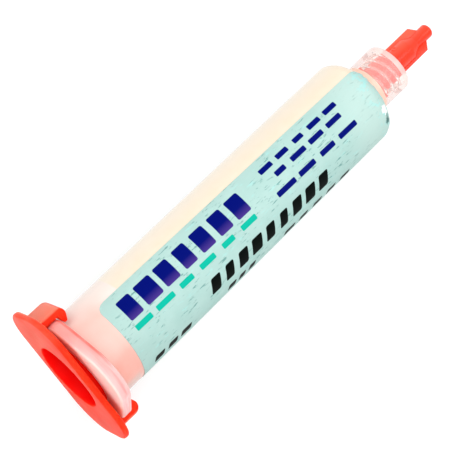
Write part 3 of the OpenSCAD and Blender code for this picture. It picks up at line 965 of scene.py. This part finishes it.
def make_paste():
    """The paste touches the wall, so that it shows through the plastic right out to the edge."""
    paste = [paste_material()]
    wet_r = BORE_R + PASTE_WET
    rear_z = PISTON_FRONT + PASTE_OFF
    neck_z = BORE_END + END_CURVE + PASTE_WET
    bore = ellipse((0, rear_z), PISTON_R - DOME_EDGE + PASTE_OFF, PISTON_DOME, 90, 0)
    bore += [(wet_r, rear_z)]
    bore += ellipse((PASSAGE_R, BORE_END), wet_r - PASSAGE_R, END_CURVE + PASTE_WET, 0, 90)
    bore += [(0.0, neck_z)]
    fill = piece("flux_paste_fill", [mesh_of(turned(bore, False))], paste, "syringe", "flux_paste")
    neck_r = PASSAGE_R + NECK_GAP
    neck_end = NOZZLE_END - NECK_SHORT
    neck = [(0.0, neck_z + NECK_GAP), (neck_r, neck_z + NECK_GAP), (neck_r, neck_end),
        (0.0, neck_end + NECK_TIP)]
    piece("flux_paste_neck", [mesh_of(turned(neck, False))], paste, "syringe")
    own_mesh(fill)


def over_barrel(run, lift):
    """Radius and height of a point over the barrel's outside, by its run from the label's rear edge."""
    if run <= TUBE_RUN:
        z = LABEL_START + run
        return outside(z) + lift, z
    angle = SHOULDER_ARC * (run - TUBE_RUN) / SHOULDER_RUN
    wide = outside(TUBE_LEN) - COLLAR_BASE_R + lift
    return COLLAR_BASE_R + wide * math.cos(angle), TUBE_LEN + (SHOULDER_LEN + lift) * math.sin(angle)


def corner_cut(across):
    """How far the label's round corners set its ends back, at a place across it."""
    into_corner = max(0.0, LABEL_CORNER_R - min(across, LABEL_ARC - across))
    return LABEL_CORNER_R - math.sqrt(LABEL_CORNER_R ** 2 - into_corner ** 2)


def film_points(lift, columns, rows, pleats):
    """Points of one side of the film, lifted off the barrel, and their places on the print."""
    points, places = [], []
    for across in columns:
        cut = corner_cut(across)
        degrees = across / LABEL_ARC * LABEL_WRAP
        ragged = sum(deep * math.sin(degrees * waves + start) for deep, waves, start in FRONT_WAVES)
        rise = sum(tall * math.exp(-((degrees - middle) / wide) ** 2) for middle, wide, tall in pleats)
        for row in rows:
            share = row / LABEL_RUN
            run = cut + share * (LABEL_RUN - FRONT_TRIM + ragged - 2 * cut)
            folded = max(0.0, (run - TUBE_RUN) / SHOULDER_RUN)
            radius, z = over_barrel(run, lift + rise * folded ** PLEAT_RISE)
            skew = LABEL_SKEW * (run - TUBE_RUN / 2) / outside(LABEL_MIDDLE)
            turn = math.radians(LABEL_FROM + degrees) + skew
            z -= LABEL_SKEW * (across - LABEL_ARC / 4) * (1 - share)
            points.append((radius * math.cos(turn), radius * math.sin(turn), z))
            places.append((across / LABEL_ARC, run / LABEL_RUN))
    return points, places


def film_faces(wide, tall):
    """Faces of both sides of a film of wide by tall points, and of the edge round it."""
    outer = wide * tall
    faces = []
    for i in range(wide - 1):
        for j in range(tall - 1):
            quad = (i * tall + j, (i + 1) * tall + j, (i + 1) * tall + j + 1, i * tall + j + 1)
            faces += [quad[::-1], tuple(q + outer for q in quad)]
    ring = [i * tall for i in range(wide)] + [(wide - 1) * tall + j for j in range(1, tall)]
    ring += [i * tall + tall - 1 for i in range(wide - 2, -1, -1)] + list(range(tall - 2, 0, -1))
    faces += [(a, b, b + outer, a + outer) for a, b in zip(ring, ring[1:] + ring[:1])]
    return faces


def make_label():
    """The film lies round the barrel a little askew and folds over the shoulder in small pleats."""
    chance = np.random.default_rng(PLEAT_SEED)
    pleats = [(chance.uniform(0, LABEL_WRAP), chance.uniform(*PLEAT_WIDE), chance.uniform(*PLEAT_TALL))
        for _ in range(PLEATS)]
    even = np.linspace(0, 1, LABEL_COLUMNS + 1)
    crowded = (1 - np.cos(math.pi * even)) / 2
    columns = LABEL_ARC * ((1 - EVEN_SHARE) * crowded + EVEN_SHARE * even)
    finer = TUBE_RUN - FINER_BY
    rows = np.concatenate([np.linspace(0, finer, TUBE_ROWS)[:-1],
        np.linspace(finer, LABEL_RUN, LABEL_ROWS - TUBE_ROWS + 1)])
    verts, uvs = [], []
    for lift in (LABEL_GAP, LABEL_GAP + LABEL_T):
        points, places = film_points(lift, columns, rows, pleats)
        verts += points
        uvs += places
    mesh = bpy.data.meshes.new("label")
    mesh.from_pydata(verts, [], film_faces(len(columns), len(rows)))
    layer = mesh.uv_layers.new(name="label")
    for loop in mesh.loops:
        layer.data[loop.index].uv = uvs[loop.vertex_index]
    piece("label_film", [mesh], [label_material()], "syringe", "label")


def end_cap_section():
    """Plate, hollow plug and recess as one section, in the cap's own frame."""
    floor_z = PLUG_LEN - PLUG_WALL
    recess = PLUG_R - PLUG_WALL
    floor_r = recess - (floor_z + PLATE_T) * PLUG_DRAFT
    tip_r = PLUG_R - PLUG_LEN * PLUG_DRAFT
    mouth_z = PLUG_ROOT_R - PLATE_T
    rows = [(0.0, floor_z), (floor_r - PLUG_TIP_R, floor_z), (floor_r, floor_z - PLUG_TIP_R)]
    rows += [(recess, mouth_z)]
    rows += arc((recess + PLUG_ROOT_R, mouth_z), PLUG_ROOT_R, 180, 270, 4)
    rows += rounded_rim(PLATE_DISCS, -PLATE_T, 0.0, PLATE_EDGE_R)
    rows += arc((PLUG_R + PLUG_ROOT_R, PLUG_ROOT_R), PLUG_ROOT_R, 270, 180, 4)
    rows += arc((tip_r - PLUG_TIP_R, PLUG_LEN - PLUG_TIP_R), PLUG_TIP_R, 0, 90, 4)
    rows += [(0.0, PLUG_LEN)]
    return rows


def hook_section():
    """A hook's arm, its round head and the slanting face that catches the flange."""
    inner = HOOK_OUTER - HOOK_T
    lip = HOOK_OUTER - HOOK_IN
    head = (HOOK_OUTER - HOOK_HEAD_R, HOOK_REACH - HOOK_HEAD_R)
    section = [(inner, -PLATE_T / 2), (HOOK_OUTER, -PLATE_T / 2)]
    section += arc(head, HOOK_HEAD_R, 0, HOOK_HEAD_TURN, 14)
    section += [(lip, CATCH_TIP + LIP_TALL), (lip, CATCH_TIP + EASE), (lip + LIP_EDGE, CATCH_TIP)]
    section += [(inner, CATCH_ROOT)]
    return section


def make_end_cap():
    """The plate with its plug, and its two hooks."""
    meshes = [mesh_of(turned(end_cap_section(), False), place=ROCKED)]
    for turn in (0, math.pi):
        place = ROCKED @ Matrix.Rotation(turn, 4, "Z")
        meshes.append(mesh_of(slab(hook_section(), HOOK_W), HOOK_EASE, place))
    piece("end_cap_red", meshes, [end_cap_red()], "syringe", "end_cap")


def tip_cap_section():
    """The shank with its socket over the nozzle, the body and the nose."""
    mouth_r = nozzle_r(SHANK_BACK)
    rows = [(0.0, SOCKET_END), (nozzle_r(SOCKET_END) + SOCKET_CLEAR, SOCKET_END)]
    rows += [(mouth_r + SOCKET_CLEAR, SHANK_BACK + EASE), (mouth_r + SOCKET_FLARE, SHANK_BACK)]
    rows += [(SHANK_R - EASE, SHANK_BACK), (SHANK_R, SHANK_BACK + EASE), (SHANK_R, SHANK_END)]
    rows += [(BODY_R + BODY_DRAFT, RIM_Z), (BODY_R, RIM_Z + 2 * EASE), (BODY_R, BODY_END - 2 * EASE)]
    rows += [(BODY_R - BODY_EDGE, BODY_END + EASE), (NOSE_R + NOSE_FLARE, NOSE_START - 1.5 * EASE)]
    rows += [(NOSE_R, NOSE_START + EASE)]
    rows += arc((NOSE_R - NOSE_EDGE_R, CAP_END - NOSE_EDGE_R), NOSE_EDGE_R, 0, 90)
    rows += [(0.0, CAP_END)]
    return rows


def gate_ring():
    """The small raised ring that the mould's gate leaves on the cap's body."""
    verts = []
    for turn in whole_turn(GATE_STEPS):
        for side in whole_turn(GATE_SIDES):
            across = GATE_R + GATE_THICK * math.cos(side)
            angle = GATE_FACING + across * math.sin(turn) / BODY_R
            radius = BODY_R + GATE_THICK * math.sin(side)
            z = GATE_Z + across * math.cos(turn)
            verts.append((radius * math.cos(angle), radius * math.sin(angle), z))
    faces = []
    for i in range(GATE_STEPS):
        here, after = i * GATE_SIDES, (i + 1) % GATE_STEPS * GATE_SIDES
        for k in range(GATE_SIDES):
            side = (k + 1) % GATE_SIDES
            faces.append((here + k, here + side, after + side, after + k))
    return verts, faces


def make_tip_cap():
    """The turned body with its fins, its lugs and the gate's ring."""
    fin = [(FIN_ROOT, SHANK_END), (FIN_R, SHANK_END), (FIN_R, FIN_END), (NOSE_R - EASE, FIN_END + FIN_SLANT),
        (FIN_FOOT, FIN_END)]
    lug = [(LUG_ROOT, SHANK_BACK + LUG_SET), (LUG_R, SHANK_BACK + LUG_SET), (LUG_R, SHANK_BACK + LUG_T),
        (LUG_ROOT, SHANK_BACK + LUG_T)]
    meshes = [mesh_of(turned(tip_cap_section(), False), place=SCREWED)]
    for half, thick, ease in ((fin, FIN_T, FIN_EASE), (lug, LUG_W, EASE)):
        for side in (1, -1):
            section = [(side * x, z) for x, z in half]
            meshes.append(mesh_of(slab(section, thick), ease, SCREWED))
    meshes.append(mesh_of(gate_ring(), place=SCREWED))
    piece("tip_cap_red", meshes, [tip_cap_red()], "tip_cap", "tip_cap")


# Stage, light and camera

# How the camera sees the barrel: the tip points this far above the picture's right-hand
# side and this far away from the camera
TIP_UP = math.radians(44.19)
TIP_AWAY = math.radians(20.04)
# Where the axis passes, 18.27 mm in front of the flange's back face, from the camera
AIM_Z = 18.27
AIM_RIGHT = -15.507
AIM_UP = -13.780
AIM_AWAY = 303.513
FOCAL_PIXELS = 1642
PICTURE_PIXELS = 458
SENSOR = 36.0
NEAREST = 0.01


def camera_axes():
    """The picture's right and up and the way back to the camera, in the row frame."""
    toward_hook = math.cos(ROLLED) * HOOKWARD - math.sin(ROLLED) * EARWARD
    toward_eye = math.sin(ROLLED) * HOOKWARD + math.cos(ROLLED) * EARWARD
    back = math.cos(TIP_AWAY) * toward_eye - math.sin(TIP_AWAY) * TIPWARD
    forward_lean = math.cos(TIP_AWAY) * TIPWARD + math.sin(TIP_AWAY) * toward_eye
    right = math.cos(TIP_UP) * forward_lean - math.sin(TIP_UP) * toward_hook
    up = math.sin(TIP_UP) * forward_lean + math.cos(TIP_UP) * toward_hook
    return right, up, back


def make_camera():
    """The camera at the picture's angle."""
    right, up, back = camera_axes()
    aim = LAID @ Vector((0, 0, AIM_Z))
    data = bpy.data.cameras.new("camera")
    data.sensor_width = SENSOR
    data.lens = FOCAL_PIXELS * SENSOR / PICTURE_PIXELS
    data.clip_start = NEAREST
    camera = bpy.data.objects.new("camera", data)
    turn = Matrix((right, up, back)).transposed().to_4x4()
    stand = aim - (right * AIM_RIGHT + up * AIM_UP - back * AIM_AWAY) * MM
    camera.matrix_world = Matrix.Translation(stand) @ turn
    bpy.context.scene.collection.objects.link(camera)
    bpy.context.scene.camera = camera


def seen_directly(n):
    """1 for rays that show the background: straight from the camera, mirrored or through clear plastic."""
    path = n.add("ShaderNodeLightPath").outputs
    either = n.math("MAXIMUM", path["Is Camera Ray"], path["Is Glossy Ray"])
    return n.math("MAXIMUM", either, path["Is Transmission Ray"])


FLOOR_SIZE = 4.0
FLOOR_GREY = (0.55, 0.55, 0.55, 1)
# How much the floor is lifted where it is seen as the background, over its lit white
FLOOR_WHITENING = 0.52
AMBIENT = 0.75


def make_floor():
    """A plain floor that looks white and keeps the object's shadow."""
    bpy.ops.mesh.primitive_plane_add(size=FLOOR_SIZE, location=(0, 0, 0))
    floor = bpy.context.object
    floor.name = "floor"
    s = Shader("white_floor")
    s.set(Base_Color=FLOOR_GREY, Roughness=0.9, Specular_IOR_Level=0.0)
    glow = s.add("ShaderNodeEmission", {"Strength": s.times(seen_directly(s), FLOOR_WHITENING)})
    both = s.add("ShaderNodeAddShader", {0: s.surface.outputs[0], 1: glow.outputs[0]})
    s.link(both.outputs[0], s.tree.nodes["Material Output"].inputs["Surface"])
    floor.data.materials.append(s.material)


LAMP_DISTANCE = 0.7
# Name, way to the lamp as right, up and back, size in metres, and watts
LAMPS = (
    ("tip_softbox", (0.65, 0.23, 0.73), 0.55, 1.9),
    ("key_softbox", (-0.75, 0.65, 0.9), 0.5, 1.3),
    ("back_softbox", (-0.5, -0.45, 0.7), 0.45, 1.4),
    ("fill_softbox", (0.3, -0.42, 0.85), 0.35, 0.8),
)


def make_light():
    """A white world, brightest where it is the background, and four soft lamps."""
    world = bpy.data.worlds.new("studio")
    bpy.context.scene.world = world
    world.use_nodes = True
    n = Nodes(world.node_tree)
    background = n.tree.nodes["Background"].inputs
    n.link((1, 1, 1, 1), background["Color"])
    level = n.add("ShaderNodeMapRange", {"Value": seen_directly(n), "To Min": AMBIENT, "To Max": 1.0})
    n.link(level.outputs["Result"], background["Strength"])
    right, up, back = camera_axes()
    aim = LAID @ Vector((0, 0, LABEL_MIDDLE))
    for name, way, size, watts in LAMPS:
        lamp = bpy.data.lights.new(name, "AREA")
        lamp.size = size
        lamp.energy = watts
        obj = bpy.data.objects.new(name, lamp)
        toward = (right * way[0] + up * way[1] + back * way[2]).normalized()
        obj.location = aim + toward * LAMP_DISTANCE
        obj.rotation_euler = toward.to_track_quat("Z", "Y").to_euler()
        bpy.context.scene.collection.objects.link(obj)


make_camera()
make_barrel()
make_piston()
make_paste()
make_label()
make_end_cap()
make_tip_cap()
make_floor()
make_light()
bpy.context.scene.view_settings.view_transform = "Standard"
